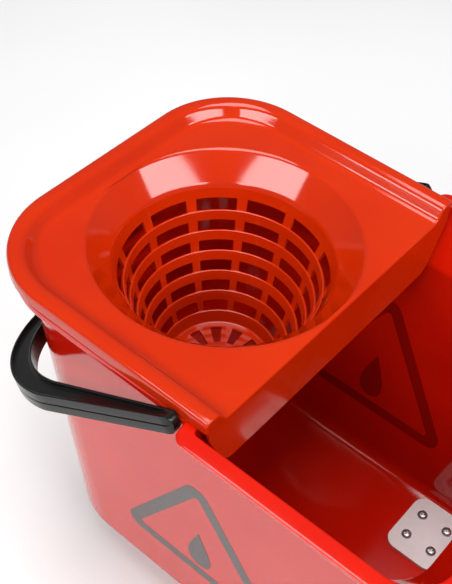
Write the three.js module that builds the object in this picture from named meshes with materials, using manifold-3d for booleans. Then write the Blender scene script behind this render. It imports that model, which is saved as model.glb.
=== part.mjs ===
// Mop bucket with a lift-off wringer, a swing handle and four swivel castors.
// Millimetres, +Z up, +X towards the open end of the bucket, +Y across it.
// The design frame has its origin on the wringer basket's axis, level with the wringer's deck.
// The finished group is moved so that the origin is under the middle of the object, on the floor.

import * as THREE from "three";
import { mergeVertices } from "three/addons/utils/BufferGeometryUtils.js";
import Module from "manifold-3d";

const wasm = await Module();
wasm.setup();

// Bucket: straight sloping walls. Past the wringer, the top of the open end flares out by a step.
const WALL = 3;
const DRAFT = 0.0627;
const BUCKET_DEPTH = 289;
const HALF_WIDTH = 126.5;
const WRINGER_END = -105;
const OPEN_END = 250;
const WRINGER_END_RADIUS = 60;
const OPEN_END_RADIUS = 32;
const STEP_X = 91;
const STEP_OUT = 17;
const FLARE_DEPTH = 45;
const STEP_RADIUS = 6;
const STEP_INNER_RADIUS = 5;
const RIM_REACH = 10;
const STEP_RIM_REACH = 5.8;
const RIM_DROP = 7;

// Handle lugs: blocks under the rim, each bored for a steel pin that the handle turns on.
const PIVOT_X = 73;
const PIVOT_Z = -5;
const LUG_LENGTH = 20;
const LUG_DROP = 15;
const LUG_FACE = 137.2;
const PIN_RADIUS = 3.5;
const PIN_START = 124;
const PIN_END = 142;

// Handle: a U that lies in a plane through the pins, and leans on the bucket's narrow end.
const HANDLE_REACH = 217;
const HANDLE_DIP = THREE.MathUtils.degToRad(28.2);
const HANDLE_DEPTH = 14;
const HANDLE_END_HALF = 160.5;
const HANDLE_PIVOT_HALF = 147;
const HANDLE_WIDTH = 16.5;
const HANDLE_PIVOT_WIDTH = 9;
const HANDLE_CORNER = 106;
const HANDLE_EYE_RADIUS = 10;

// Wringer: a tray that rests on the rim, a shallow dish, a stepped basket and a front apron.
const TRAY_HALF = 136.6;
const TRAY_END = -121;
const TRAY_FRONT = 102.3;
const TRAY_RADIUS = 71.2;
const TRAY_LIP = 10.7;
const TRAY_WALL = 3;
const APRON_HALF = 134;
const APRON_LOW_HALF = 125;
const APRON_SHOULDER = 9;
const APRON_WAIST = 30;
const APRON_DROP = 49;
const APRON_CORNER = 17;
const DISH_RADIUS = 100;
const MOUTH_RADIUS = 81.7;
const MOUTH_DEPTH = 21.4;
const FIRST_LEDGE_DEPTH = 40.4;
const LEDGE_PITCH = 17.45;
const LEDGES = 6;
const FIRST_LEDGE_RADIUS = 73;
const LAST_LEDGE_RADIUS = 45.5;
const LEDGE_BULGE = 1.5;
const LEDGE_WIDTH = 1.6;
const BASKET_DEPTH = 137.6;
const BASKET_FLOOR_RADIUS = 41;
const BASKET_WALL = 2.8;
const SLOTS = 12;
const SLOT_PHASE = THREE.MathUtils.degToRad(15);
const SLOT_SPAN = THREE.MathUtils.degToRad(23.5);
const SLOT_HEIGHT = 9.5;
const TURN_STEPS = 36;

// Castors: a backing plate inside, four screws, a top plate, a kingpin, a fork, an axle and a wheel.
const CASTOR_HEIGHT = 52;
const SCREW_SPACING = 25;
const BACKING_LENGTH = 50;
const BACKING_WIDTH = 60;
const TOP_SIDE = 42;
const SCREW_HOLE_RADIUS = 2.5;
const WHEEL_RADIUS = 20;
const WHEEL_HALF = 9;
const WHEEL_TRAIL = 15;
const AXLE_RADIUS = 3;
const KINGPIN_RADIUS = 3.5;
const FORK_INSIDE = 10.3;
const FORK_OUTSIDE = 13.3;
const OPEN_CASTOR_X = 185;
const OPEN_CASTOR_Y = 69;
const WRINGER_CASTOR_X = -40;
const WRINGER_CASTOR_Y = 54;

const FIT = 0.3;

// ---------- small solid helpers ----------

// A closed three.js geometry becomes a solid that can be cut and joined.
function solid(geometry) {
  const bare = geometry.index ? geometry.toNonIndexed() : geometry.clone();
  bare.deleteAttribute("normal");
  bare.deleteAttribute("uv");
  const merged = mergeVertices(bare, 1e-4);
  const vertProperties = new Float32Array(merged.attributes.position.array);
  const triVerts = new Uint32Array(merged.index.array);
  return new wasm.Manifold(new wasm.Mesh({ numProp: 3, vertProperties, triVerts }));
}

function geometryOf(body) {
  const mesh = body.getMesh();
  const geometry = new THREE.BufferGeometry();
  geometry.setAttribute("position", new THREE.BufferAttribute(mesh.vertProperties, 3));
  geometry.setIndex(new THREE.BufferAttribute(mesh.triVerts, 1));
  return geometry;
}

function box(low, high) {
  const size = high.map((value, axis) => value - low[axis]);
  const geometry = new THREE.BoxGeometry(...size);
  geometry.translate(low[0] + size[0] / 2, low[1] + size[1] / 2, low[2] + size[2] / 2);
  return solid(geometry);
}

// A round bar along "x", "y" or "z", from one place on that axis to another.
function bar(axis, radius, from, to, steps = 16) {
  const geometry = new THREE.CylinderGeometry(radius, radius, to - from, steps);
  geometry.translate(0, (from + to) / 2, 0);
  if (axis === "z") geometry.rotateX(Math.PI / 2);
  if (axis === "x") geometry.rotateZ(-Math.PI / 2);
  return solid(geometry);
}

// A profile of [radius, height] points that starts and ends on the Z axis, turned about it.
function turned(profile, steps) {
  const points = profile.map(([radius, height]) => new THREE.Vector2(radius, height));
  const geometry = new THREE.LatheGeometry(points, steps);
  geometry.rotateX(Math.PI / 2);
  return solid(geometry);
}

function plate(shape, bottom, top, curveSegments = 4) {
  const depth = top - bottom;
  const geometry = new THREE.ExtrudeGeometry(shape, { depth, bevelEnabled: false, curveSegments });
  geometry.translate(0, 0, bottom);
  return solid(geometry);
}

function roundedPlate(length, width, radius) {
  const x = length / 2 - radius;
  const y = width / 2 - radius;
  const shape = new THREE.Shape();
  shape.moveTo(x + radius, y);
  shape.absarc(x, y, radius, 0, Math.PI / 2);
  shape.absarc(-x, y, radius, Math.PI / 2, Math.PI);
  shape.absarc(-x, -y, radius, Math.PI, 1.5 * Math.PI);
  shape.absarc(x, -y, radius, 1.5 * Math.PI, 2 * Math.PI);
  return shape;
}

// Level rings of points with equal counts, joined in order, and closed by a face at each end.
function ringSolid(rings) {
  const count = rings[0].length;
  const position = rings.flat().flatMap((point) => [point.x, point.y, point.z]);
  const index = [];
  for (let ring = 0; ring + 1 < rings.length; ring++) {
    for (let step = 0; step < count; step++) {
      const next = (step + 1) % count;
      const a = ring * count + step;
      const b = ring * count + next;
      index.push(a, b, b + count, a, b + count, a + count);
    }
  }
  const last = (rings.length - 1) * count;
  const flat = (ring) => ring.map((point) => new THREE.Vector2(point.x, point.y));
  for (const [a, b, c] of THREE.ShapeUtils.triangulateShape(flat(rings[0]), [])) {
    index.push(a, c, b);
  }
  for (const [a, b, c] of THREE.ShapeUtils.triangulateShape(flat(rings.at(-1)), [])) {
    index.push(last + a, last + b, last + c);
  }
  const geometry = new THREE.BufferGeometry();
  geometry.setAttribute("position", new THREE.Float32BufferAttribute(position, 3));
  geometry.setIndex(index);
  return solid(geometry);
}

// A closed outline with round corners. A corner turns a quarter from its first direction;
// an inward one bends the other way. `rise` is the corner's radius across the bucket.
function roundedOutline(corners, z, steps) {
  const points = [];
  for (const { x, y, radius, rise = radius, from, inward } of corners) {
    const side = inward ? -1 : 1;
    for (let step = 0; step <= steps; step++) {
      const angle = from + (side * Math.PI * step) / (2 * steps);
      const across = y + side * rise * Math.sin(angle);
      points.push(new THREE.Vector3(x + side * radius * Math.cos(angle), across, z));
    }
  }
  return points;
}

// ---------- bucket ----------

// The bucket's outline at one height, pushed out by `out`, and by `stepOut` on the step's faces.
// The end corners keep their radius all the way down; only the wall's thickness changes it.
function bucketOutline(z, out, stepOut = out, thicker = out) {
  const quarter = Math.PI / 2;
  const share = THREE.MathUtils.clamp(1 + z / FLARE_DEPTH, 0, 1);
  const narrow = HALF_WIDTH + out;
  const wide = narrow + STEP_OUT * share;
  const left = WRINGER_END - out;
  const right = OPEN_END + STEP_OUT * share + out;
  const step = STEP_X - stepOut;
  const open = OPEN_END_RADIUS + thicker;
  const end = WRINGER_END_RADIUS + thicker;
  const bend = THREE.MathUtils.clamp(STEP_RADIUS + out, 3, 10);
  const nook = THREE.MathUtils.clamp(STEP_INNER_RADIUS - out, 2, 13);
  const bendRise = bend * share;
  const nookRise = Math.min(nook, STEP_OUT - bend - 1) * share;
  const bendX = step + bend + 0.4;
  const nookX = step - nook - 0.4;
  const corners = [
    { x: right - open, y: wide - open, radius: open, from: 0 },
    { x: bendX, y: wide - bendRise, radius: bend, rise: bendRise, from: quarter },
    { x: nookX, y: narrow + nookRise, radius: nook, rise: nookRise, from: 2 * quarter, inward: true },
    { x: left + end, y: narrow - end, radius: end, from: quarter },
    { x: left + end, y: end - narrow, radius: end, from: 2 * quarter },
    { x: nookX, y: -narrow - nookRise, radius: nook, rise: nookRise, from: 3 * quarter, inward: true },
    { x: bendX, y: bendRise - wide, radius: bend, rise: bendRise, from: 2 * quarter },
    { x: right - open, y: open - wide, radius: open, from: 3 * quarter },
  ];
  return roundedOutline(corners, z, 5);
}

function bucketShell() {
  const floor = -BUCKET_DEPTH;
  const wall = (z, inset) => bucketOutline(z, DRAFT * z - inset, DRAFT * z - inset, -inset);
  const rim = (z, out) => bucketOutline(z, out, out - RIM_REACH + STEP_RIM_REACH);
  return ringSolid([
    wall(floor, 6),
    wall(floor + 2, 2),
    wall(floor + 6, 0),
    wall(-FLARE_DEPTH, 0),
    wall(-WALL, 0),
    rim(-WALL, RIM_REACH - 2.5),
    rim(-RIM_DROP, RIM_REACH - 2.5),
    rim(-RIM_DROP, RIM_REACH),
    rim(-2, RIM_REACH),
    rim(0, RIM_REACH - 2),
    wall(0, WALL),
    wall(-FLARE_DEPTH, WALL),
    wall(floor + 11, WALL),
    wall(floor + 5, WALL + 1.8),
    wall(floor + WALL, WALL + 6),
  ]);
}

function handleLug(side) {
  const low = [PIVOT_X - LUG_LENGTH / 2, HALF_WIDTH - 2, -LUG_DROP];
  const high = [PIVOT_X + LUG_LENGTH / 2, LUG_FACE, -0.2];
  const lug = box(low, high);
  return side > 0 ? lug : lug.mirror([0, 1, 0]);
}

function bucket() {
  let body = bucketShell().add(handleLug(1)).add(handleLug(-1));
  const bore = bar("y", PIN_RADIUS + FIT, -200, 200).translate([PIVOT_X, 0, PIVOT_Z]);
  const cavity = box([PIVOT_X - 12, -118, PIVOT_Z - 12], [PIVOT_X + 12, 118, PIVOT_Z + 12]);
  body = body.subtract(bore.subtract(cavity));
  for (const { x, y } of castorPlaces()) {
    for (const [dx, dy] of screwPlaces()) {
      const low = -BUCKET_DEPTH - 1;
      body = body.subtract(bar("z", SCREW_HOLE_RADIUS, low, low + 6, 8).translate([x + dx, y + dy, 0]));
    }
  }
  return geometryOf(body);
}

// ---------- wringer ----------

function trayOutline(z, out) {
  const quarter = Math.PI / 2;
  const half = TRAY_HALF + out;
  const left = TRAY_END - out;
  const right = TRAY_FRONT + 60;
  const radius = TRAY_RADIUS + out;
  const corners = [
    { x: right - radius, y: half - radius, radius, from: 0 },
    { x: left + radius, y: half - radius, radius, from: quarter },
    { x: left + radius, y: radius - half, radius, from: 2 * quarter },
    { x: right - radius, y: radius - half, radius, from: 3 * quarter },
  ];
  return roundedOutline(corners, z, 9);
}

// The tray is a pan with a folded-over lip. It runs on past the apron until the front is cut.
function pan() {
  return ringSolid([
    trayOutline(-TRAY_WALL, -21.5),
    trayOutline(TRAY_LIP - TRAY_WALL - 0.4, -14.2),
    trayOutline(TRAY_LIP - TRAY_WALL, -TRAY_WALL),
    trayOutline(FIT, -TRAY_WALL),
    trayOutline(FIT, 0),
    trayOutline(TRAY_LIP - 3, 0),
    trayOutline(TRAY_LIP, -3),
    trayOutline(TRAY_LIP, -10),
    trayOutline(TRAY_LIP - 1, -11.8),
    trayOutline(0, -18.6),
  ]);
}

// A sheet that hangs from the deck, drawn flat and then stood up across the bucket.
// It narrows towards its foot, to follow the bucket's flare.
function apron() {
  const foot = APRON_LOW_HALF - APRON_CORNER;
  const shape = new THREE.Shape();
  shape.moveTo(-APRON_HALF, -1);
  shape.lineTo(-APRON_HALF, -APRON_SHOULDER);
  shape.lineTo(-APRON_LOW_HALF, -APRON_WAIST);
  shape.quadraticCurveTo(6 - APRON_LOW_HALF, -APRON_DROP, -foot, -APRON_DROP);
  shape.lineTo(foot, -APRON_DROP);
  shape.quadraticCurveTo(APRON_LOW_HALF - 6, -APRON_DROP, APRON_LOW_HALF, -APRON_WAIST);
  shape.lineTo(APRON_HALF, -APRON_SHOULDER);
  shape.lineTo(APRON_HALF, -1);
  return plate(shape, TRAY_FRONT - TRAY_WALL, TRAY_FRONT + 1, 5).rotate([90, 0, 90]);
}

// Radius and height of each ledge's edge, from the top one down.
function ledges() {
  return Array.from({ length: LEDGES }, (_, row) => {
    const along = row / (LEDGES - 1);
    const straight = THREE.MathUtils.lerp(FIRST_LEDGE_RADIUS, LAST_LEDGE_RADIUS, along);
    const radius = straight + LEDGE_BULGE * 4 * along * (1 - along);
    return { radius, z: -FIRST_LEDGE_DEPTH - row * LEDGE_PITCH };
  });
}

// The dish and basket before they are hollowed out.
function basketBlank() {
  const profile = [[0, -1], [DISH_RADIUS + 1.5, -1], [DISH_RADIUS + 1.5, -2.2]];
  profile.push([MOUTH_RADIUS + BASKET_WALL, -MOUTH_DEPTH - 1]);
  for (const { radius, z } of ledges()) {
    profile.push([radius + LEDGE_WIDTH + BASKET_WALL, z]);
  }
  profile.push([BASKET_FLOOR_RADIUS + 1 + BASKET_WALL, -BASKET_DEPTH - BASKET_WALL]);
  profile.push([0, -BASKET_DEPTH - BASKET_WALL]);
  return turned(profile.reverse(), TURN_STEPS);
}

// The space inside the dish and basket, with a flat ledge at the foot of each step.
function basketSpace() {
  const slope = (DISH_RADIUS - MOUTH_RADIUS - 1.5) / (MOUTH_DEPTH - 1.5);
  const above = 20;
  const profile = [[0, above], [DISH_RADIUS + slope * above, above]];
  profile.push([MOUTH_RADIUS + 1.5, 1.5 - MOUTH_DEPTH], [MOUTH_RADIUS, -MOUTH_DEPTH - 0.5]);
  for (const { radius, z } of ledges()) {
    profile.push([radius + LEDGE_WIDTH, z], [radius, z]);
  }
  profile.push([BASKET_FLOOR_RADIUS + 1, -BASKET_DEPTH], [0, -BASKET_DEPTH]);
  return turned(profile.reverse(), TURN_STEPS);
}

// One slot above each ledge and one in the floor, all on the same side of the basket.
function slotCutters() {
  const cutters = ledges().map(({ radius, z }) => {
    const half = (radius + LEDGE_WIDTH) * Math.sin(SLOT_SPAN / 2);
    return box([radius + 1.1, -half, z - 0.4], [radius + 16, half, z - 0.4 + SLOT_HEIGHT]);
  });
  cutters.push(box([20, -3.6, -BASKET_DEPTH - 8], [36, 3.6, -BASKET_DEPTH + 3]));
  return cutters;
}

function wringer() {
  let body = pan().add(apron()).add(basketBlank()).subtract(basketSpace());
  for (const cutter of slotCutters()) {
    for (let slot = 0; slot < SLOTS; slot++) {
      const angle = SLOT_PHASE + (slot * 2 * Math.PI) / SLOTS;
      body = body.subtract(cutter.rotate([0, 0, THREE.MathUtils.radToDeg(angle)]));
    }
  }
  return geometryOf(body.subtract(box([TRAY_FRONT, -200, -80], [300, 200, 50])));
}

// ---------- handle ----------

// The U's outline in its own plane: u runs from the pins to the grip, v across the bucket.
function handleOutline() {
  const bow = 0.5523;
  const reach = HANDLE_REACH;
  const inner = reach - HANDLE_WIDTH;
  const half = HANDLE_END_HALF;
  const innerHalf = half - HANDLE_WIDTH;
  const corner = HANDLE_CORNER;
  const innerCorner = corner - HANDLE_WIDTH;
  const shape = new THREE.Shape();
  shape.moveTo(0, -HANDLE_PIVOT_HALF);
  shape.lineTo(reach - corner, -half);
  shape.bezierCurveTo(
    reach - corner * (1 - bow), -half, reach, -half + corner * (1 - bow), reach, -half + corner);
  shape.lineTo(reach, half - corner);
  shape.bezierCurveTo(
    reach, half - corner * (1 - bow), reach - corner * (1 - bow), half, reach - corner, half);
  shape.lineTo(0, HANDLE_PIVOT_HALF);
  shape.lineTo(0, HANDLE_PIVOT_HALF - HANDLE_PIVOT_WIDTH);
  shape.lineTo(inner - innerCorner, innerHalf);
  shape.bezierCurveTo(
    inner - innerCorner * (1 - bow), innerHalf, inner, innerHalf - innerCorner * (1 - bow),
    inner, innerHalf - innerCorner);
  shape.lineTo(inner, innerCorner - innerHalf);
  shape.bezierCurveTo(
    inner, -innerHalf + innerCorner * (1 - bow), inner - innerCorner * (1 - bow), -innerHalf,
    inner - innerCorner, -innerHalf);
  shape.lineTo(0, HANDLE_PIVOT_WIDTH - HANDLE_PIVOT_HALF);
  return shape;
}

function handle() {
  const eyeInside = HANDLE_PIVOT_HALF - HANDLE_PIVOT_WIDTH;
  let body = plate(handleOutline(), -HANDLE_DEPTH / 2, HANDLE_DEPTH / 2, 10);
  for (const side of [-1, 1]) {
    const eye = bar("y", HANDLE_EYE_RADIUS, eyeInside, HANDLE_PIVOT_HALF, 24);
    const socket = bar("y", PIN_RADIUS + FIT, eyeInside - 1, PIN_END + FIT, 16);
    const sided = (piece) => (side > 0 ? piece : piece.mirror([0, 1, 0]));
    body = body.add(sided(eye)).subtract(sided(socket));
  }
  const dip = THREE.MathUtils.radToDeg(HANDLE_DIP);
  const turnedOver = body.rotate([0, 0, 180]).rotate([0, -dip, 0]);
  return geometryOf(turnedOver.translate([PIVOT_X, 0, PIVOT_Z]));
}

// A short steel pin, half in the handle's blind hole and half in the lug.
function handlePin(side) {
  const pin = bar("y", PIN_RADIUS, PIN_START, PIN_END, 16).translate([PIVOT_X, 0, PIVOT_Z]);
  return geometryOf(side > 0 ? pin : pin.mirror([0, 1, 0]));
}

// ---------- castors ----------

function castorPlaces() {
  return [
    { name: "open_end_left", x: OPEN_CASTOR_X, y: OPEN_CASTOR_Y },
    { name: "open_end_right", x: OPEN_CASTOR_X, y: -OPEN_CASTOR_Y },
    { name: "wringer_end_left", x: WRINGER_CASTOR_X, y: WRINGER_CASTOR_Y },
    { name: "wringer_end_right", x: WRINGER_CASTOR_X, y: -WRINGER_CASTOR_Y },
  ];
}

function screwPlaces() {
  const reach = SCREW_SPACING / 2;
  return [[reach, reach], [-reach, reach], [-reach, -reach], [reach, -reach]];
}

function holedPlate(shape, bottom, top, centreHole) {
  let body = plate(shape, bottom, top);
  for (const [x, y] of screwPlaces()) {
    body = body.subtract(bar("z", SCREW_HOLE_RADIUS, bottom - 1, top + 1, 8).translate([x, y, 0]));
  }
  if (centreHole) body = body.subtract(bar("z", centreHole, bottom - 1, top + 1, 12));
  return geometryOf(body);
}

function screw() {
  const seat = WALL + FIT + 3 + FIT;
  const profile = [[0, -2.7], [2.2, -2.7], [2.2, seat], [4.5, seat], [4.2, seat + 1.4], [0, seat + 2.6]];
  return geometryOf(turned(profile, 8));
}

function kingpin() {
  const crownLow = -6.8 - FIT;
  const profile = [[0, crownLow - 2], [5, crownLow - 2], [6.5, crownLow - 1], [6.5, crownLow]];
  profile.push([KINGPIN_RADIUS, crownLow], [KINGPIN_RADIUS, -2 * FIT], [0, -2 * FIT]);
  return geometryOf(turned(profile, 16));
}

function fork() {
  const axleZ = WHEEL_RADIUS - CASTOR_HEIGHT;
  const crownTop = -3.3;
  const crownLow = -6.8;
  const cheek = new THREE.Shape();
  cheek.moveTo(14, crownTop);
  cheek.lineTo(-18, crownTop);
  cheek.quadraticCurveTo(-23, axleZ + 14, -WHEEL_TRAIL - 7, axleZ);
  cheek.absarc(-WHEEL_TRAIL, axleZ, 7, Math.PI, 2 * Math.PI);
  cheek.quadraticCurveTo(-3, axleZ + 12, 14, crownLow);
  const cheeks = plate(cheek, -FORK_OUTSIDE, FORK_OUTSIDE, 5).rotate([90, 0, 0]);
  const between = box([-60, -FORK_INSIDE, -90], [60, FORK_INSIDE, crownLow]);
  const legs = cheeks.subtract(between);
  const pinHole = bar("z", KINGPIN_RADIUS + 0.4, -20, 0, 16);
  const axleHole = bar("y", AXLE_RADIUS + FIT, -30, 30, 16).translate([-WHEEL_TRAIL, 0, axleZ]);
  return geometryOf(legs.subtract(pinHole).subtract(axleHole));
}

function axle() {
  const head = FORK_OUTSIDE + FIT;
  const profile = [[0, -head - 1.6], [4.4, -head - 1.2], [5, -head], [AXLE_RADIUS, -head]];
  profile.push([AXLE_RADIUS, head], [5, head], [4.4, head + 1.2], [0, head + 1.6]);
  return geometryOf(turned(profile, 14).rotate([90, 0, 0]));
}

function wheel() {
  const bore = AXLE_RADIUS + 0.08;
  const hub = 6.5;
  const web = WHEEL_HALF - 3;
  const tyre = WHEEL_RADIUS - 5;
  const half = [[bore, WHEEL_HALF], [hub, WHEEL_HALF], [hub + 1, web], [tyre, web]];
  half.push([tyre + 1, WHEEL_HALF - 0.8], [WHEEL_RADIUS - 1.8, WHEEL_HALF - 1.2]);
  half.push([WHEEL_RADIUS, WHEEL_HALF - 4]);
  const other = half.map(([radius, height]) => [radius, -height]).reverse();
  const loop = half.concat(other);
  loop.push(loop[0]);
  const points = loop.reverse().map(([radius, height]) => new THREE.Vector2(radius, height));
  const geometry = new THREE.LatheGeometry(points, 22);
  return geometryOf(solid(geometry));
}

// ---------- the assembly ----------

function finish(color, roughness, metalness = 0) {
  return new THREE.MeshStandardMaterial({ color, roughness, metalness });
}

function addPiece(group, name, geometry, material, position = [0, 0, 0]) {
  const mesh = new THREE.Mesh(geometry, material);
  mesh.name = name;
  mesh.position.set(...position);
  group.add(mesh);
}

function castor(name) {
  const group = new THREE.Group();
  const axleZ = WHEEL_RADIUS - CASTOR_HEIGHT;
  const insideFloor = WALL + FIT;
  const backingShape = roundedPlate(BACKING_LENGTH, BACKING_WIDTH, 11);
  const backing = holedPlate(backingShape, insideFloor, insideFloor + 3);
  const top = holedPlate(roundedPlate(TOP_SIDE, TOP_SIDE, 7), -2.8, -FIT, KINGPIN_RADIUS + FIT);
  addPiece(group, `backing_plate_${name}`, backing, finish(0xe9e6e2, 0.45));
  addPiece(group, `castor_plate_${name}`, top, finish(0xb8babd, 0.35, 1));
  screwPlaces().forEach(([x, y], number) => {
    addPiece(group, `screw_${number + 1}_${name}`, screw(), finish(0x9a9c9e, 0.35, 1), [x, y, 0]);
  });
  addPiece(group, `kingpin_${name}`, kingpin(), finish(0xa9abad, 0.4, 1));
  addPiece(group, `fork_${name}`, fork(), finish(0x1b1b1c, 0.45));
  addPiece(group, `axle_${name}`, axle(), finish(0xa9abad, 0.35, 1), [-WHEEL_TRAIL, 0, axleZ]);
  addPiece(group, `wheel_${name}`, wheel(), finish(0x2a2a2b, 0.6), [-WHEEL_TRAIL, 0, axleZ]);
  return group;
}

function design() {
  const group = new THREE.Group();
  addPiece(group, "bucket", bucket(), finish(0xd81408, 0.28));
  addPiece(group, "wringer", wringer(), finish(0xe23a06, 0.25));
  addPiece(group, "handle", handle(), finish(0x121210, 0.35));
  addPiece(group, "handle_pin_left", handlePin(1), finish(0x9a9c9e, 0.35, 1));
  addPiece(group, "handle_pin_right", handlePin(-1), finish(0x9a9c9e, 0.35, 1));
  for (const { name, x, y } of castorPlaces()) {
    const one = castor(name);
    one.position.set(x, y, -BUCKET_DEPTH);
    group.add(one);
  }
  return group;
}

// The middle of the object's length, from the handle's far side to the open end's rim.
const handleEnd = PIVOT_X - HANDLE_REACH * Math.cos(HANDLE_DIP) - (HANDLE_DEPTH / 2) * Math.sin(HANDLE_DIP);
const MIDDLE_X = (handleEnd + OPEN_END + STEP_OUT + RIM_REACH) / 2;

const assembly = design();
assembly.position.set(-MIDDLE_X, 0, BUCKET_DEPTH + CASTOR_HEIGHT);
const model = new THREE.Group();
model.add(assembly);
export default model;
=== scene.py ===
"""Looks for the mop bucket: fine meshes, plastics, metals, a pale floor and studio light.

Lengths in this file are millimetres in the design frame: its origin is on the basket's axis,
level with the wringer's deck, with +X towards the bucket's open end and +Z up. `place` turns
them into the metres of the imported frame.
"""

import math

import bmesh
import bpy
from mathutils import Matrix, Vector


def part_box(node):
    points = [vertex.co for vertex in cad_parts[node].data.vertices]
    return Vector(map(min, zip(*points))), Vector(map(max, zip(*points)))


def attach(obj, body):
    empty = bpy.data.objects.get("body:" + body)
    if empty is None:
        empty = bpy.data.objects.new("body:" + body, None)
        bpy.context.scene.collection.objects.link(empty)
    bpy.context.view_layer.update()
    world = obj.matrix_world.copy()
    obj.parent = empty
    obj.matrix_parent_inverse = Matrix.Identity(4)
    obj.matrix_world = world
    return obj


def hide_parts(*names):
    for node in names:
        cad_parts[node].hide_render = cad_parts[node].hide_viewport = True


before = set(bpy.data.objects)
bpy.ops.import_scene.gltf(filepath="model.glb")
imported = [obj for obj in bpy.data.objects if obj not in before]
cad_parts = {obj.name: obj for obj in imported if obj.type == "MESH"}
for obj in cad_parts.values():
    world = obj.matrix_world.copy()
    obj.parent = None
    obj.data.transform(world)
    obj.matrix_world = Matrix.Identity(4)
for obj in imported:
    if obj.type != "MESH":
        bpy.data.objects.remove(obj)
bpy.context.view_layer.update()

MM = 0.001
TRAY_FRONT = 102.3
TRAY_LIP = 10.7
AXIS_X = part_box("wringer")[1][0] - TRAY_FRONT * MM
DECK_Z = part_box("wringer")[1][2] - TRAY_LIP * MM
QUARTER = math.pi / 2

# Bucket
WALL = 3.0
DRAFT = 0.0627
BUCKET_DEPTH = (DECK_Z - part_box("bucket")[0][2]) / MM
HALF_WIDTH = 126.5
WRINGER_END = -105.0
OPEN_END = 250.0
WRINGER_END_RADIUS = 60.0
OPEN_END_RADIUS = 32.0
STEP_X = 91.0
STEP_OUT = 17.0
FLARE_DEPTH = 45.0
STEP_RADIUS = 6.0
STEP_INNER_RADIUS = 5.0
RIM_REACH = 10.0
RIM_DROP = 7.0
STEP_RIM_CUT = 4.2

# Handle and its pins
PIVOT_X = 73.0
PIVOT_Z = -5.0
LUG_LENGTH = 20.0
LUG_DROP = 15.0
LUG_FACE = 137.1
HANDLE_REACH = 217.0
HANDLE_DIP = math.radians(28.2)
HANDLE_DEPTH = 14.0
HANDLE_END_HALF = 160.5
HANDLE_PIVOT_HALF = 147.0
HANDLE_WIDTH = 16.5
HANDLE_PIVOT_WIDTH = 9.0
HANDLE_CORNER = 106.0
HANDLE_EYE_RADIUS = 10.0
HANDLE_GROOVE = 2.8
END_TUCK = 3.0

# Wringer
TRAY_HALF = 136.6
TRAY_END = -121.0
TRAY_RADIUS = 71.2
LIP_WIDTH = 18.6
FRONT_FILLET = 2.2
APRON_HALF = 134.0
APRON_LOW_HALF = 125.0
APRON_SHOULDER = 9.0
APRON_WAIST = 30.0
APRON_DROP = 49.0
APRON_CORNER = 17.0
DISH_RADIUS = 100.0
MOUTH_RADIUS = 81.7
MOUTH_DEPTH = 21.4
FIRST_LEDGE_DEPTH = 40.4
LEDGE_PITCH = 17.45
LEDGES = 6
FIRST_LEDGE_RADIUS = 73.0
LAST_LEDGE_RADIUS = 45.5
LEDGE_BULGE = 1.5
LEDGE_WIDTH = 1.6
BASKET_DEPTH = 137.6
BASKET_FLOOR_RADIUS = 42.0
SHEET = 2.6
COLUMNS = 240
FRONT_COLUMN = 33
SLOT_TURN = 30.0
SLOT_SPAN = 24.0
SLOT_HEIGHT = 9.1
FLOOR_SLOT_SPAN = 15.0

# Castors
WHEEL_RADIUS = 20.0
WHEEL_HALF = 9.0
AXLE_RADIUS = 3.0
CASTORS = ("open_end_left", "open_end_right", "wringer_end_left", "wringer_end_right")


def place(x, y, z):
    """A point of the design frame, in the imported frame's metres."""
    return Vector((AXIS_X + x * MM, y * MM, DECK_Z + z * MM))


# ---------- profiles ----------


def soften(points, steps=3):
    """A profile of (radius, *coordinates) points, with each inner corner rounded by its radius."""
    corners = [Vector(point[1:]) for point in points]
    rounded = [corners[0]]
    for number in range(1, len(points) - 1):
        corner = corners[number]
        back = corners[number - 1] - corner
        ahead = corners[number + 1] - corner
        reach = min(points[number][0], back.length * 0.45, ahead.length * 0.45)
        if reach < 0.01:
            rounded.append(corner)
            continue
        start = corner + back.normalized() * reach
        end = corner + ahead.normalized() * reach
        for step in range(steps + 1):
            share = step / steps
            rounded.append(start.lerp(corner, share).lerp(corner.lerp(end, share), share))
    rounded.append(corners[-1])
    return rounded


def bezier(a, b, c, d, steps):
    """Points on a cubic curve from a towards d, without d."""
    points = []
    for step in range(steps):
        t = step / steps
        ab, bc, cd = a.lerp(b, t), b.lerp(c, t), c.lerp(d, t)
        points.append(ab.lerp(bc, t).lerp(bc.lerp(cd, t), t))
    return points


# ---------- meshes ----------


def add_ring(mesh, points):
    return [mesh.verts.new(point) for point in points]


def join_rings(mesh, first, second, closed=True):
    """Quads between two rings of points with equal counts."""
    count = len(first)
    for step in range(count if closed else count - 1):
        after = (step + 1) % count
        mesh.faces.new((first[step], first[after], second[after], second[step]))


def loft(mesh, rings, cap_first=True, cap_last=True):
    """Rings of points joined in order, with an end face on each end that is to be closed."""
    made = [add_ring(mesh, ring) for ring in rings]
    for first, second in zip(made, made[1:]):
        join_rings(mesh, first, second)
    if cap_first:
        mesh.faces.new(list(reversed(made[0])))
    if cap_last:
        mesh.faces.new(made[-1])
    return made


def turned(mesh, profile, centre, axis="Z", columns=64):
    """A profile of (radius, height) points turned about an axis through centre, in millimetres."""
    turn = Matrix.Identity(3)
    if axis == "Y":
        turn = Matrix.Rotation(-QUARTER, 3, "X")
    rings = []
    for radius, height in profile:
        ring = []
        for column in range(columns):
            angle = 2 * math.pi * column / columns
            point = Vector((radius * math.cos(angle), radius * math.sin(angle), height))
            ring.append(place(*(Vector(centre) + turn @ point)))
        rings.append(ring)
    return loft(mesh, rings)


def slab(mesh, outline, low, high, lift):
    """An outline of 2-D points made thick from low to high; lift turns (u, v, depth) into a place."""
    loft(mesh, [[lift(u, v, depth) for u, v in outline] for depth in (low, high)])


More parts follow.
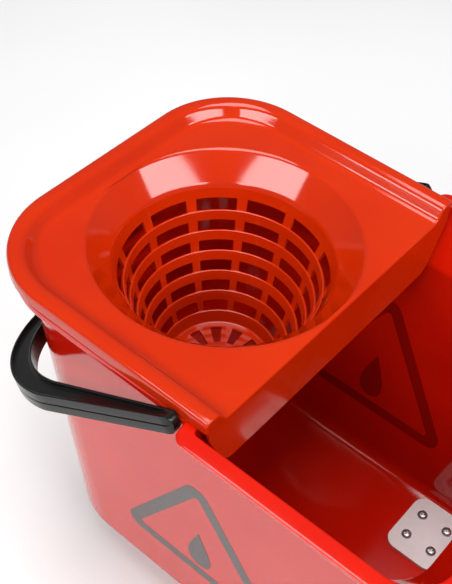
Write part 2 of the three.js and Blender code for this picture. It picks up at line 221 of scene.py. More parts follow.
def make_piece(name, mesh, material, body, replaced=(), sheet=0.0, bevel=0.0, angle=38):
    """A finished object: smooth faces, sharp creases, and its place in the frame."""
    if not sheet:
        bmesh.ops.recalc_face_normals(mesh, faces=mesh.faces)
    data = bpy.data.meshes.new(name)
    mesh.to_mesh(data)
    mesh.free()
    for face in data.polygons:
        face.use_smooth = True
    data.set_sharp_from_angle(angle=math.radians(angle))
    data.materials.append(material)
    piece = bpy.data.objects.new(name, data)
    bpy.context.collection.objects.link(piece)
    if sheet:
        thick = piece.modifiers.new("thickness", "SOLIDIFY")
        thick.thickness = sheet * MM
        thick.offset = -1
    finish_edges(piece, bevel)
    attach(piece, body)
    if replaced:
        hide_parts(*replaced)
    return piece


def finish_edges(piece, bevel):
    """Small rounds on sharp edges, and normals that keep flat faces flat."""
    if bevel:
        edge = piece.modifiers.new("edges", "BEVEL")
        edge.width = bevel * MM
        edge.segments = 2
        edge.limit_method = "ANGLE"
        edge.angle_limit = math.radians(40)
        edge.use_clamp_overlap = True
    normals = piece.modifiers.new("normals", "WEIGHTED_NORMAL")
    normals.keep_sharp = not bevel


# ---------- materials ----------


class Nodes:
    """A short way to write a material's node tree."""

    def __init__(self, name):
        self.material = bpy.data.materials.new(name)
        self.material.use_nodes = True
        self.tree = self.material.node_tree
        self.shader = self.tree.nodes["Principled BSDF"]

    def add(self, kind, **settings):
        node = self.tree.nodes.new(kind)
        for key, value in settings.items():
            if key in node.inputs:
                node.inputs[key].default_value = value
            else:
                setattr(node, key, value)
        return node

    def link(self, output, target):
        self.tree.links.new(output, target)

    def noise(self, scale, detail=3.0, roughness=0.5):
        """Soft noise in the object's own metres."""
        place_node = self.add("ShaderNodeTexCoord")
        noise = self.add("ShaderNodeTexNoise", Scale=scale, Detail=detail, Roughness=roughness)
        self.link(place_node.outputs["Object"], noise.inputs["Vector"])
        return noise.outputs["Fac"]

    def ramp(self, factor, stops):
        """Colours at places from 0 to 1 along a factor."""
        ramp = self.add("ShaderNodeValToRGB")
        ramp.color_ramp.elements[0].position = stops[0][0]
        ramp.color_ramp.elements[0].color = (*stops[0][1], 1)
        ramp.color_ramp.elements[1].position = stops[-1][0]
        ramp.color_ramp.elements[1].color = (*stops[-1][1], 1)
        for position, colour in stops[1:-1]:
            ramp.color_ramp.elements.new(position).color = (*colour, 1)
        self.link(factor, ramp.inputs["Fac"])
        return ramp.outputs["Color"]

    def spread(self, factor, low, high):
        """A factor from 0 to 1 stretched between two values."""
        spread = self.add("ShaderNodeMapRange", **{"To Min": low, "To Max": high})
        self.link(factor, spread.inputs["Value"])
        return spread.outputs["Result"]

    def bump(self, layers):
        """Stacked bumps of (height, strength, distance in metres)."""
        normal = None
        for height, strength, distance in layers:
            bump = self.add("ShaderNodeBump", Strength=strength, Distance=distance)
            self.link(height, bump.inputs["Height"])
            if normal:
                self.link(normal, bump.inputs["Normal"])
            normal = bump.outputs["Normal"]
        self.link(normal, self.shader.inputs["Normal"])


def edge_wear(nodes, colour, worn, amount):
    """Lightens the colour on raised edges, broken up by noise."""
    shape = nodes.add("ShaderNodeNewGeometry")
    edge = nodes.add("ShaderNodeMapRange", **{"From Min": 0.52, "From Max": 0.62, "To Max": amount})
    nodes.link(shape.outputs["Pointiness"], edge.inputs["Value"])
    patch = nodes.add("ShaderNodeMath", operation="MULTIPLY")
    nodes.link(edge.outputs["Result"], patch.inputs[0])
    nodes.link(nodes.noise(160, 4), patch.inputs[1])
    mix = nodes.add("ShaderNodeMix", data_type="RGBA")
    nodes.link(patch.outputs[0], mix.inputs["Factor"])
    nodes.link(colour, mix.inputs["A"])
    mix.inputs["B"].default_value = (*worn, 1)
    return mix.outputs["Result"]


def glossy_plastic(name, deep, bright, worn, roughness, glow=0.0):
    """Moulded polypropylene: faint mottle, a slightly uneven skin and brighter worn edges."""
    nodes = Nodes(name)
    mottle = nodes.noise(14, 2)
    colour = nodes.ramp(mottle, [(0.3, deep), (0.7, bright)])
    nodes.link(edge_wear(nodes, colour, worn, 0.5), nodes.shader.inputs["Base Color"])
    nodes.link(nodes.spread(nodes.noise(55, 4), roughness - 0.03, roughness + 0.04),
               nodes.shader.inputs["Roughness"])
    nodes.bump([(nodes.noise(9, 1), 0.25, 0.0010), (nodes.noise(900, 2), 0.06, 0.00005)])
    nodes.shader.inputs["IOR"].default_value = 1.49
    if glow:
        nodes.shader.inputs["Subsurface Weight"].default_value = glow
        nodes.shader.inputs["Subsurface Radius"].default_value = (1.0, 0.08, 0.03)
        nodes.shader.inputs["Subsurface Scale"].default_value = 0.004
    return nodes.material


def grained_plastic(name, dark, light, roughness, shine=0.5):
    """Satin plastic with a fine spark-eroded grain and rubbed patches."""
    nodes = Nodes(name)
    colour = nodes.ramp(nodes.noise(22, 4), [(0.35, dark), (0.7, light)])
    worn = tuple(min(1.0, channel * 2.2 + 0.01) for channel in light)
    nodes.link(edge_wear(nodes, colour, worn, 0.6), nodes.shader.inputs["Base Color"])
    nodes.link(nodes.spread(nodes.noise(70, 4), roughness - 0.07, roughness + 0.09),
               nodes.shader.inputs["Roughness"])
    nodes.bump([(nodes.noise(14, 1), 0.2, 0.0008), (nodes.noise(1500, 3), 0.12, 0.00006)])
    nodes.shader.inputs["Specular IOR Level"].default_value = shine
    return nodes.material


def zinc(name, tint):
    """Bright zinc plate with cloudy crystals and fine scratches."""
    nodes = Nodes(name)
    nodes.shader.inputs["Metallic"].default_value = 1.0
    darker = tuple(channel * 0.72 for channel in tint)
    colour = nodes.ramp(nodes.noise(120, 5, 0.6), [(0.35, darker), (0.65, tint)])
    nodes.link(colour, nodes.shader.inputs["Base Color"])
    nodes.link(nodes.spread(nodes.noise(300, 4), 0.26, 0.46), nodes.shader.inputs["Roughness"])
    nodes.bump([(nodes.noise(1400, 2), 0.15, 0.00006)])
    return nodes.material


def rubber(name):
    """Dark rubber with pale dust in it."""
    nodes = Nodes(name)
    dust = nodes.noise(60, 5, 0.65)
    colour = nodes.ramp(dust, [(0.35, (0.018, 0.018, 0.019)), (0.75, (0.055, 0.053, 0.050))])
    nodes.link(colour, nodes.shader.inputs["Base Color"])
    nodes.link(nodes.spread(dust, 0.55, 0.8), nodes.shader.inputs["Roughness"])
    nodes.bump([(nodes.noise(500, 4), 0.3, 0.0002)])
    return nodes.material


def ink(name):
    """Screen-printed dark grey ink, thin enough for the red to show through in specks."""
    nodes = Nodes(name)
    specks = nodes.noise(420, 5, 0.7)
    colour = nodes.ramp(specks, [(0.28, (0.34, 0.07, 0.06)), (0.40, (0.085, 0.080, 0.078)),
                                 (0.8, (0.12, 0.115, 0.11))])
    nodes.link(colour, nodes.shader.inputs["Base Color"])
    nodes.link(nodes.spread(nodes.noise(200, 3), 0.35, 0.5), nodes.shader.inputs["Roughness"])
    nodes.bump([(specks, 0.15, 0.00005)])
    return nodes.material


# ---------- bucket ----------


def corner_arc(x, y, radius, rise, start, inward, steps):
    """A quarter of an ellipse round one corner of the outline."""
    side = -1 if inward else 1
    points = []
    for step in range(steps + 1):
        angle = start + side * QUARTER * step / steps
        points.append((x + side * radius * math.cos(angle), y + side * rise * math.sin(angle)))
    return points


def bucket_outline(out, z, step_cut=0.0, steps=9):
    """The bucket's outline at height z, pushed out by `out`. The open end's top flares by a step.

    The end corners keep their radius all the way down; only the wall's thickness changes it.
    """
    share = min(max(1 + z / FLARE_DEPTH, 0.0), 1.0)
    narrow = HALF_WIDTH + out
    wide = narrow + STEP_OUT * share
    left = WRINGER_END - out
    right = OPEN_END + STEP_OUT * share + out
    step = STEP_X - out + step_cut
    thicker = out - DRAFT * z
    open_radius = OPEN_END_RADIUS + thicker
    end_radius = WRINGER_END_RADIUS + thicker
    bend = min(max(STEP_RADIUS + out, 3.0), 10.0)
    nook = min(max(STEP_INNER_RADIUS - out, 2.0), 13.0)
    bend_rise = bend * share
    nook_rise = min(nook, STEP_OUT - bend - 1) * share
    bend_x = step + bend + 0.4
    nook_x = step - nook - 0.4
    half = corner_arc(right - open_radius, wide - open_radius, open_radius, open_radius, 0, False, steps)
    half += corner_arc(bend_x, wide - bend_rise, bend, bend_rise, QUARTER, False, steps)
    half += corner_arc(nook_x, narrow + nook_rise, nook, nook_rise, 2 * QUARTER, True, steps)
    half += corner_arc(left + end_radius, narrow - end_radius, end_radius, end_radius,
                       QUARTER, False, 2 * steps)
    return half + [(x, -y) for x, y in reversed(half)]


def bucket_profile():
    """(push out, height, step cut) up the outside, over the folded rim and down the inside."""
    floor = -BUCKET_DEPTH

    def wall(radius, z, inset):
        return (radius, DRAFT * z - inset, z, 0.0)

    def rim(radius, z, out):
        return (radius, out, z, STEP_RIM_CUT)

    return soften([
        wall(0, floor, 22),
        wall(9, floor, 0),
        wall(5, -FLARE_DEPTH, 0),
        wall(1.5, -WALL, 0),
        rim(0.8, -WALL, RIM_REACH - 2.5),
        rim(0.7, -RIM_DROP, RIM_REACH - 2.5),
        rim(0.7, -RIM_DROP, RIM_REACH),
        rim(3.1, 0, RIM_REACH),
        wall(1.6, 0, WALL),
        wall(5, -FLARE_DEPTH, WALL),
        wall(11, floor + WALL, WALL),
        wall(0, floor + WALL, WALL + 24),
    ], steps=4)


def handle_lug(mesh, side):
    """The block under the rim that the handle's pin turns in."""
    half = LUG_LENGTH / 2
    foot = [(2.5, PIVOT_X - half, -LUG_DROP), (2.5, PIVOT_X + half, -LUG_DROP)]
    head = [(0, PIVOT_X + half, -1), (0, PIVOT_X - half, -1)]
    outline = soften(head[1:] + foot + head[:1])
    slab(mesh, [tuple(point) for point in outline], HALF_WIDTH - 2, LUG_FACE,
         lambda u, v, depth: place(u, side * depth, v))


def make_bucket(material):
    """The shell as one loft from its underside, over the rim and down to its inner floor."""
    mesh = bmesh.new()
    rings = []
    for out, z, step_cut in bucket_profile():
        rings.append([place(x, y, z) for x, y in bucket_outline(out, z, step_cut)])
    loft(mesh, rings)
    for side in (-1, 1):
        handle_lug(mesh, side)
    return make_piece("bucket_shell", mesh, material, "bucket_body", ["bucket"])


# ---------- wringer ----------


def ledges():
    """(radius, height) of each ledge's edge, from the top one down."""
    rows = []
    for row in range(LEDGES):
        along = row / (LEDGES - 1)
        straight = FIRST_LEDGE_RADIUS + (LAST_LEDGE_RADIUS - FIRST_LEDGE_RADIUS) * along
        rows.append((straight + LEDGE_BULGE * 4 * along * (1 - along),
                     -FIRST_LEDGE_DEPTH - row * LEDGE_PITCH))
    return rows


def basket_rows():
    """(radius, height, cut) from the basket's middle out to its mouth and the dish's edge.

    cut is how many degrees of each slot's turn are open between this row and the next.
    """
    floor = -BASKET_DEPTH
    rows = [(2.5, floor, 0), (20, floor, FLOOR_SLOT_SPAN), (36, floor, 0)]
    steps = ledges()
    tops = [(MOUTH_RADIUS, -MOUTH_DEPTH - 0.5)] + steps[:-1]
    below = (BASKET_FLOOR_RADIUS, floor)
    rows += [(*point, 0) for point in soften([(0, 36, floor), (1.2, *below), (0, *steps[-1])])[1:-1]]
    for (radius, z), (top_radius, top_z) in reversed(list(zip(steps, tops))):
        corner = (radius + LEDGE_WIDTH, z)
        nose = soften([(0, *below), (1.1, radius, z), (0, *corner)])[1:-1]
        rows += [(*point, 0) for point in nose]
        rise = SLOT_HEIGHT / (top_z - z)
        slot_top = (corner[0] + (top_radius - corner[0]) * rise, z + SLOT_HEIGHT)
        rows += [(radius + 1.3, z, SLOT_SPAN), (*corner, SLOT_SPAN), (*slot_top, 0)]
        below = slot_top
    mouth = (MOUTH_RADIUS, -MOUTH_DEPTH)
    edge = (DISH_RADIUS, 0)
    rows += [(*point, 0) for point in soften([(0, *below), (2.6, *mouth), (0, *edge)], 4)[1:-1]]
    rows += [(*point, 0) for point in soften([(0, *mouth), (2.4, *edge), (0, 120, 0)], 4)[1:-1]]
    return rows


def foot_of_lip(angle):
    """Where a ray from the basket's axis meets the foot of the tray's lip, and the way out there."""
    half = TRAY_HALF - LIP_WIDTH
    end = TRAY_END + LIP_WIDTH
    radius = TRAY_RADIUS - LIP_WIDTH
    ray = Vector((math.cos(angle), math.sin(angle)))
    side = math.copysign(1, ray.y)
    if abs(ray.y) > 1e-6:
        point = ray * (half / abs(ray.y))
        if point.x > end + radius:
            return point, Vector((0, side))
    point = ray * (end / ray.x)
    if abs(point.y) < half - radius:
        return point, Vector((-1, 0))
    centre = Vector((end + radius, side * (half - radius)))
    along = ray.dot(centre)
    reach = along + math.sqrt(along ** 2 - centre.length_squared + radius ** 2)
    point = ray * reach
    return point, (point - centre).normalized()


def lip_profile():
    """(push out, height) from the deck, up over the tray's lip and down its skirt."""
    points = soften([
        (0, -8, 0),
        (3.6, 0, 0),
        (4.0, 7.4, TRAY_LIP),
        (4.4, LIP_WIDTH, TRAY_LIP),
        (0, LIP_WIDTH, 0.3),
    ], 5)
    return points[1:]


def apron_outline():
    """(across, height) of the apron's free edge, from its left side down and up to its right."""
    half = [(APRON_HALF, -0.6), (APRON_HALF, -APRON_SHOULDER), (APRON_LOW_HALF, -APRON_WAIST)]
    start = Vector((APRON_LOW_HALF, -APRON_WAIST))
    pull = Vector((APRON_LOW_HALF - 6, -APRON_DROP))
    end = Vector((APRON_LOW_HALF - APRON_CORNER, -APRON_DROP))
    for step in range(1, 9):
        share = step / 8
        half.append(tuple(start.lerp(pull, share).lerp(pull.lerp(end, share), share)))
    return half + [(-y, z) for y, z in reversed(half)]


def is_open(column, span):
    """True if a column's face lies in a slot that is `span` degrees wide."""
    angle = (column + 0.5) * 360 / COLUMNS % SLOT_TURN
    return abs(angle - SLOT_TURN / 2) < span / 2


def wringer_grid(mesh, front_x):
    """The basket, dish and deck as rows of columns. Returns the columns' outer points."""
    rows = basket_rows()
    rings = []
    for number, (radius, z, _) in enumerate(rows):
        ring = []
        for column in range(COLUMNS):
            angle = 2 * math.pi * column / COLUMNS
            reach = radius
            if math.cos(angle) > 0.5:
                reach = min(radius, (front_x - 0.25 * (len(rows) - number)) / math.cos(angle))
            ring.append(place(reach * math.cos(angle), reach * math.sin(angle), z))
        rings.append(add_ring(mesh, ring))
    mesh.faces.new(rings[0])
    for number in range(len(rows) - 1):
        for column in range(COLUMNS):
            if not is_open(column, rows[number][2]):
                after = (column + 1) % COLUMNS
                low, high = rings[number], rings[number + 1]
                mesh.faces.new((low[column], high[column], high[after], low[after]))
    return rings[-1]


def wringer_lip(mesh, front_x):
    """The tray's lip round the back and sides, one list of points for each column."""
    lips = {}
    for column in range(FRONT_COLUMN, COLUMNS - FRONT_COLUMN + 1):
        point, way = foot_of_lip(2 * math.pi * column / COLUMNS)
        if column in (FRONT_COLUMN, COLUMNS - FRONT_COLUMN):
            point.x = front_x
        lips[column] = [mesh.verts.new(place(*(point + way * out), z)) for out, z in lip_profile()]
    for column in range(FRONT_COLUMN, COLUMNS - FRONT_COLUMN):
        for row in range(len(lip_profile()) - 1):
            here, after = lips[column], lips[column + 1]
            mesh.faces.new((here[row], here[row + 1], after[row + 1], after[row]))
    return lips


def round_front(mesh, edge):
    """Rolls the front edge over from the deck into the front face. Returns its last row."""
    inward = []
    for number in range(len(edge)):
        ahead = edge[min(number + 1, len(edge) - 1)].co - edge[max(number - 1, 0)].co
        inward.append(Vector((0, -ahead.z, ahead.y)).normalized())
    rows = [edge]
    steps = 5
    for step in range(1, steps + 1):
        angle = QUARTER * step / steps
        forward = FRONT_FILLET * math.sin(angle) * MM
        drop = FRONT_FILLET * (1 - math.cos(angle)) * MM
        moved = [vert.co + way * drop + Vector((forward, 0, 0)) for vert, way in zip(edge, inward)]
        rows.append(add_ring(mesh, moved))
    for first, second in zip(rows, rows[1:]):
        join_rings(mesh, first, second, closed=False)
    return rows[-1]


def make_wringer(material):
    """One sheet: basket, dish, deck, lip and apron, thickened inwards by a modifier."""
    mesh = bmesh.new()
    front_x = TRAY_FRONT - FRONT_FILLET
    dish_edge = wringer_grid(mesh, front_x)
    lips = wringer_lip(mesh, front_x)
    deck_edge = {column: points[0] for column, points in lips.items()}
    for column in range(1 - FRONT_COLUMN, FRONT_COLUMN):
        angle = 2 * math.pi * column / COLUMNS
        deck_edge[column % COLUMNS] = mesh.verts.new(place(front_x, front_x * math.tan(angle), 0))
    for column in range(COLUMNS):
        after = (column + 1) % COLUMNS
        mesh.faces.new((dish_edge[column], deck_edge[column], deck_edge[after], dish_edge[after]))
    front = list(reversed(lips[FRONT_COLUMN]))
    front += [deck_edge[column % COLUMNS] for column in range(FRONT_COLUMN - 1, -FRONT_COLUMN, -1)]
    front += lips[COLUMNS - FRONT_COLUMN]
    last = round_front(mesh, front)
    apron = [mesh.verts.new(place(TRAY_FRONT, y, z)) for y, z in apron_outline()]
    face = mesh.faces.new(last + list(reversed(apron)))
    face.normal_update()
    if face.normal.x < 0:
        face.normal_flip()
    return make_piece("wringer_tray", mesh, material, "wringer_body", ["wringer"],
                      sheet=SHEET, bevel=0.45)


# ---------- handle ----------


def handle_path():
    """Points of the outer edge of half the handle, from its end to the middle of the grip."""
    bow = 0.5523
    corner = HANDLE_CORNER
    pivot = Vector((0, HANDLE_PIVOT_HALF))
    bend = Vector((HANDLE_REACH - corner, HANDLE_END_HALF))
    grip = Vector((HANDLE_REACH, HANDLE_END_HALF - corner))
    middle = Vector((HANDLE_REACH, 0))
    eye = [pivot + Vector((-HANDLE_EYE_RADIUS * math.cos(QUARTER * step / 8), 0)) for step in range(8)]
    arm = [pivot.lerp(bend, step / 14) for step in range(14)]
    curve = bezier(bend, bend + Vector((corner * bow, 0)), grip + Vector((0, corner * bow)), grip, 26)
    return eye + arm + curve + [grip.lerp(middle, step / 6) for step in range(7)]


def handle_section(width, height, groove, seam):
    """(inward, up) round the handle's section: a seam down the outer face and a hollow top."""
    top = height / 2
    rim = 1.7
    points = [
        (0.9, 0, -top),
        (0.3, 0, -seam),
        (0.3, seam * 1.2, 0),
        (0.3, 0, seam),
        (0.9, 0, top),
        (0.6, rim, top),
        (0.7, rim + groove * 0.3, top - groove),
        (0.7, width - rim - groove * 0.3, top - groove),
        (0.6, width - rim, top),
        (0.9, width, top),
        (1.6, width, -top),
    ]
    closed = [points[-1]] + points + [points[0]]
    return soften(closed, 2)[1:-1]


def handle_place(along, across, up):
    """A point of the handle's own plane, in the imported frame."""
    lean = Vector((-along * math.cos(HANDLE_DIP) - up * math.sin(HANDLE_DIP), across,
                   up * math.cos(HANDLE_DIP) - along * math.sin(HANDLE_DIP)))
    return place(PIVOT_X + lean.x, lean.y, PIVOT_Z + lean.z)


def handle_rings():
    """Sections along half the handle, each a ring of (point in the handle's plane, up)."""
    path = handle_path()
    rings = []
    for number, point in enumerate(path):
        along = point.x
        share = min(max(along / (HANDLE_REACH - HANDLE_CORNER), 0), 1)
        width = HANDLE_PIVOT_WIDTH + (HANDLE_WIDTH - HANDLE_PIVOT_WIDTH) * share
        height = HANDLE_DEPTH
        if along < 0:
            height = min(HANDLE_DEPTH, 2 * math.sqrt(HANDLE_EYE_RADIUS ** 2 - along ** 2) * 0.98 + 0.2)
            tucked = END_TUCK * (along / HANDLE_EYE_RADIUS) ** 2
            point = point - Vector((0, tucked))
            width -= tucked
        groove = HANDLE_GROOVE * min(max((along + 8) / 14, 0.02), 1)
        before = path[max(number - 1, 0)]
        after = path[min(number + 1, len(path) - 1)]
        heading = (after - before).normalized()
        inward = Vector((heading.y, -heading.x))
        if along <= 0:
            inward = Vector((0, -1))
        section = handle_section(width, height, groove, min(0.6, groove))
        rings.append([(point + inward * across, up) for across, up in section])
    return rings


def make_handle(material):
    """The whole handle: one half, and its mirror image run back the other way."""
    mesh = bmesh.new()
    half = handle_rings()
    mirrored = [[(Vector((p.x, -p.y)), up) for p, up in ring] for ring in reversed(half[:-1])]
    whole = half + mirrored
    loft(mesh, [[handle_place(p.x, p.y, up) for p, up in ring] for ring in whole])
    return make_piece("handle_bail", mesh, material, "handle_body", ["handle"])


def make_pin(node, material):
    """A short steel pin with rounded ends."""
    low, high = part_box(node)
    radius = (high[0] - low[0]) / 2 / MM
    start = low[1] / MM
    end = high[1] / MM
    profile = soften([(0, 0.4, start), (0.8, radius, start), (0.8, radius, end), (0, 0.4, end)])
    mesh = bmesh.new()
    turned(mesh, profile, (PIVOT_X, 0, PIVOT_Z), "Y", 32)
    make_piece(node.replace("pin", "dowel"), mesh, material, "handle_body", [node])


# ---------- castors ----------


def wheel_centre(name):
    """The middle of a wheel, in the design frame."""
    low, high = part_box(f"wheel_{name}")
    middle = [(a + b) / 2 for a, b in zip(low, high)]
    return (middle[0] - AXIS_X) / MM, middle[1] / MM, (middle[2] - DECK_Z) / MM


def make_wheel(name, material):
    """A rubber tyre moulded round a hub, with a shallow dish and a raised ring on each side."""
    bore = AXLE_RADIUS + 0.1
    side = [(0.3, bore, WHEEL_HALF), (0.8, 6.5, WHEEL_HALF), (1.0, 7.2, WHEEL_HALF - 3.2)]
    side += [(0.3, 10.4, WHEEL_HALF - 3.2), (0.3, 10.9, WHEEL_HALF - 2.7), (0.3, 11.9, WHEEL_HALF - 2.7)]
    side += [(0.3, 12.4, WHEEL_HALF - 3.2), (1.0, 14.4, WHEEL_HALF - 3.2), (0.9, 15.6, WHEEL_HALF - 0.9)]
    side += [(3.2, WHEEL_RADIUS, WHEEL_HALF - 1.1)]
    tread = [(0.5, WHEEL_RADIUS, 1.2), (0.3, WHEEL_RADIUS - 0.5, 0.6)]
    half = side + tread
    loop = half + [(r, radius, -height) for r, radius, height in reversed(half)]
    closed = [loop[-1]] + loop + [loop[0]]
    profile = soften(closed)[1:-1]
    mesh = bmesh.new()
    centre = wheel_centre(name)
    columns = 72
    rings = []
    for radius, height in profile:
        ring = []
        for column in range(columns):
            angle = 2 * math.pi * column / columns
            ring.append(place(centre[0] + radius * math.cos(angle), centre[1] + height,
                              centre[2] + radius * math.sin(angle)))
        rings.append(ring)
    made = [add_ring(mesh, ring) for ring in rings]
    for first, second in zip(made, made[1:] + made[:1]):
        join_rings(mesh, first, second)
    return make_piece(f"tyre_{name}", mesh, material, f"wheel_body_{name}",
                      [f"wheel_{name}"])


def make_screw(name, number, material):
    """A pan-head screw with a cross recess."""
    node = f"screw_{number}_{name}"
    low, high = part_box(node)
    x = ((low[0] + high[0]) / 2 - AXIS_X) / MM
    y = (low[1] + high[1]) / 2 / MM
    base = (low[2] - DECK_Z) / MM
    top = (high[2] - DECK_Z) / MM
    seat = top - 2.6
    columns = 48
    mesh = bmesh.new()

    def ring(radius, z):
        turn = [2 * math.pi * column / columns for column in range(columns)]
        return [place(x + radius * math.cos(a), y + radius * math.sin(a), z) for a in turn]

    def cross(size, z):
        points = []
        for column in range(columns):
            angle = 2 * math.pi * column / columns
            arm = abs(math.sin(2 * angle)) < math.sin(math.radians(36))
            radius = size if arm else size * 0.42
            points.append(place(x + radius * math.cos(angle), y + radius * math.sin(angle), z))
        return points

    rings = [ring(0.4, base), ring(2.0, base), ring(2.2, base + 0.3), ring(2.2, seat)]
    rings += [ring(4.3, seat), ring(4.45, seat + 0.3), ring(4.3, seat + 1.2), ring(3.6, seat + 2.0)]
    rings += [ring(2.9, top - 0.2), cross(2.3, top - 0.05), cross(2.0, top - 1.5), cross(0.3, top - 1.7)]
    loft(mesh, rings)
    return make_piece(f"fastener_{number}_{name}", mesh, material, "bucket_body",
                      [node], angle=30)


def dress_node(node, material, bevel):
    """A CAD node that keeps its shape gets a material and small rounds on its edges."""
    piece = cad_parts[node]
    piece.data.materials.clear()
    piece.data.materials.append(material)
    finish_edges(piece, bevel)


def make_castor(name, paints):
    """The screws and tyre are new meshes; the other parts keep the CAD mesh."""
    for number in range(1, 5):
        make_screw(name, number, paints["fastener"])
    make_wheel(name, paints["rubber"])
    dress_node(f"backing_plate_{name}", paints["white"], 0.5)
    dress_node(f"castor_plate_{name}", paints["zinc"], 0.3)
    dress_node(f"kingpin_{name}", paints["fastener"], 0.25)
    dress_node(f"fork_{name}", paints["fork"], 0.5)
    dress_node(f"axle_{name}", paints["fastener"], 0.25)


# ---------- print ----------


def wall_face(side, x, z, push=0.12):
    """A point just proud of a long wall's outer face, or pushed in to its inner face."""
    return place(x, side * (HALF_WIDTH + DRAFT * z + push), z)


def rounded_triangle(centre_x, centre_z, size, radius, steps=8):
    """An upright triangle with round corners; size is from its middle to each round's centre."""
    points = []
    for corner in range(3):
        middle = math.radians(90 + 120 * corner)
        for step in range(steps + 1):
            angle = middle + math.radians(-60 + 120 * step / steps)
            points.append((centre_x + size * math.cos(middle) + radius * math.cos(angle),
                           centre_z + size * math.sin(middle) + radius * math.sin(angle)))
    return points


def drop(centre_x, centre_z, size, steps=40):
    """A plain water drop."""
    points = []
    for step in range(steps):
        angle = 2 * math.pi * step / steps
        narrowing = math.sin(angle / 2) ** 1.6
        points.append((centre_x + size * 0.62 * math.sin(angle) * narrowing,
                       centre_z + size * math.cos(angle)))
    return points


def make_print(side, name, material, push):
    """A plain triangle outline with a drop in it, on a long wall. Pushed in to the inner face, it is a
    painted shadow of the print.
    """
    centre_x, centre_z = 82.0, -184.0
    mesh = bmesh.new()
    outer = rounded_triangle(centre_x, centre_z, 72, 12)
    inner = rounded_triangle(centre_x, centre_z, 67, 3.5)
    rings = [add_ring(mesh, [wall_face(side, x, z, push) for x, z in line]) for line in (outer, inner)]
    join_rings(mesh, *rings)
    blot = drop(centre_x, centre_z - 6, 26)
    mesh.faces.new(add_ring(mesh, [wall_face(side, x, z, push) for x, z in blot]))
    make_piece(name, mesh, material, "bucket_body", sheet=0.08)


# ---------- floor, light and camera ----------


def make_floor():
    """A plain pale paper floor."""
    mesh = bmesh.new()
    size = 6.0
    mesh.faces.new(add_ring(mesh, [(-size, -size, 0), (size, -size, 0), (size, size, 0), (-size, size, 0)]))
    data = bpy.data.meshes.new("floor")
    mesh.to_mesh(data)
    mesh.free()
    nodes = Nodes("floor_paper")
    colour = nodes.ramp(nodes.noise(3, 2), [(0.3, (0.90, 0.90, 0.90)), (0.7, (0.93, 0.93, 0.93))])
    nodes.link(colour, nodes.shader.inputs["Base Color"])
    nodes.shader.inputs["Roughness"].default_value = 0.9
    nodes.shader.inputs["Specular IOR Level"].default_value = 0.1
    data.materials.append(nodes.material)
    floor = bpy.data.objects.new("floor", data)
    bpy.context.collection.objects.link(floor)


def softbox(name, turn, rise, distance, width, height, power):
    """A soft light that looks at the wringer. turn is from -Y towards +X, in degrees."""
    light = bpy.data.lights.new(name, "AREA")
    light.shape = "RECTANGLE"
    light.size = width
    light.size_y = height
    light.energy = power
    turn, rise = math.radians(turn), math.radians(rise)
    way = Vector((math.sin(turn) * math.cos(rise), -math.cos(turn) * math.cos(rise), math.sin(rise)))
    lamp = bpy.data.objects.new(name, light)
    lamp.location = place(0, 0, 0) + way * distance
    lamp.rotation_euler = way.to_track_quat("Z", "Y").to_euler()
    bpy.context.collection.objects.link(lamp)


def make_light():
    """Two long boxes that show as crisp reflections, a box overhead and a dim pale room."""
    softbox("front_box", 0, 37, 1.9, 1.7, 0.42, 23)
    softbox("side_box", 88, 34, 1.9, 1.7, 0.42, 23)
    softbox("top_box", 0, 89, 1.9, 1.3, 1.3, 33)
    world = bpy.data.worlds.new("studio")
    world.use_nodes = True
    world.node_tree.nodes["Background"].inputs["Color"].default_value = (1, 1, 1, 1)
    world.node_tree.nodes["Background"].inputs["Strength"].default_value = 0.19
    bpy.context.scene.world = world


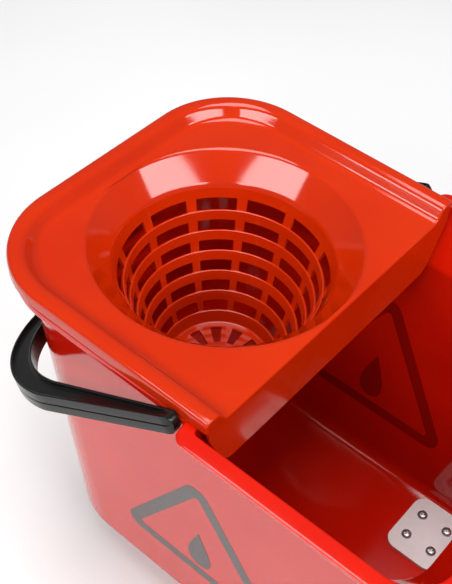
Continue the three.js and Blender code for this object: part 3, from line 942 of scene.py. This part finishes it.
def make_camera():
    """The viewpoint: 38 degrees round from -Y, 47 degrees up, rolled a little, about 0.76 m away."""
    turn, rise, roll = math.radians(38.19), math.radians(47.27), math.radians(3.39)
    back = Vector((math.sin(turn) * math.cos(rise), -math.cos(turn) * math.cos(rise), math.sin(rise)))
    level = Vector((math.cos(turn), math.sin(turn), 0))
    upright = back.cross(level)
    right = math.cos(roll) * level + math.sin(roll) * upright
    up = math.cos(roll) * upright - math.sin(roll) * level
    data = bpy.data.cameras.new("camera")
    data.lens = 66.3
    data.sensor_width = 36.0
    camera = bpy.data.objects.new("camera", data)
    camera.matrix_world = Matrix((right, up, back)).transposed().to_4x4()
    camera.location = place(339.84, -428.10, 536.17)
    bpy.context.collection.objects.link(camera)
    bpy.context.scene.camera = camera


def make_materials():
    return {
        "bucket": glossy_plastic("bucket_red", (0.52, 0.006, 0.001), (0.58, 0.010, 0.001),
                                 (0.66, 0.05, 0.01), 0.10, glow=0.04),
        # The wringer's red is real, but its shift towards orange is painted light: a lit copy of the red
        # for its bright up-facing deck.
        "wringer": glossy_plastic("wringer_red_painted_lit_orange", (0.46, 0.017, 0.0005), (0.51, 0.023, 0.0005),
                                  (0.60, 0.06, 0.01), 0.08, glow=0.04),
        "handle": grained_plastic("handle_black", (0.003, 0.003, 0.003), (0.006, 0.0055, 0.005), 0.22,
                                  shine=0.3),
        "fork": grained_plastic("fork_black", (0.012, 0.012, 0.012), (0.022, 0.021, 0.020), 0.42),
        "white": grained_plastic("backing_white", (0.74, 0.72, 0.70), (0.82, 0.80, 0.78), 0.45),
        "zinc": zinc("zinc_plate", (0.62, 0.63, 0.65)),
        "fastener": zinc("zinc_fastener", (0.52, 0.53, 0.54)),
        "rubber": rubber("wheel_rubber"),
        "ink": ink("print_grey"),
        # Painted shadow: a darker red for the print's shade, seen through the wall from inside.
        "shadow": glossy_plastic("painted_print_shadow_through_wall", (0.24, 0.002, 0.001), (0.28, 0.003, 0.001),
                                 (0.30, 0.01, 0.005), 0.12),
    }


def main():
    paints = make_materials()
    make_bucket(paints["bucket"])
    make_wringer(paints["wringer"])
    make_handle(paints["handle"])
    for node in ("handle_pin_left", "handle_pin_right"):
        make_pin(node, paints["fastener"])
    for name in CASTORS:
        make_castor(name, paints)
    for side, label in ((-1, "right"), (1, "left")):
        make_print(side, f"print_{label}", paints["ink"], 0.12)
        # A darker red copy of the print on the inner face: painted shadow of the print through the wall.
        make_print(side, f"print_shadow_{label}", paints["shadow"], -WALL - 0.1)
    make_floor()
    make_light()
    make_camera()
    bpy.context.scene.view_settings.view_transform = "Standard"


main()
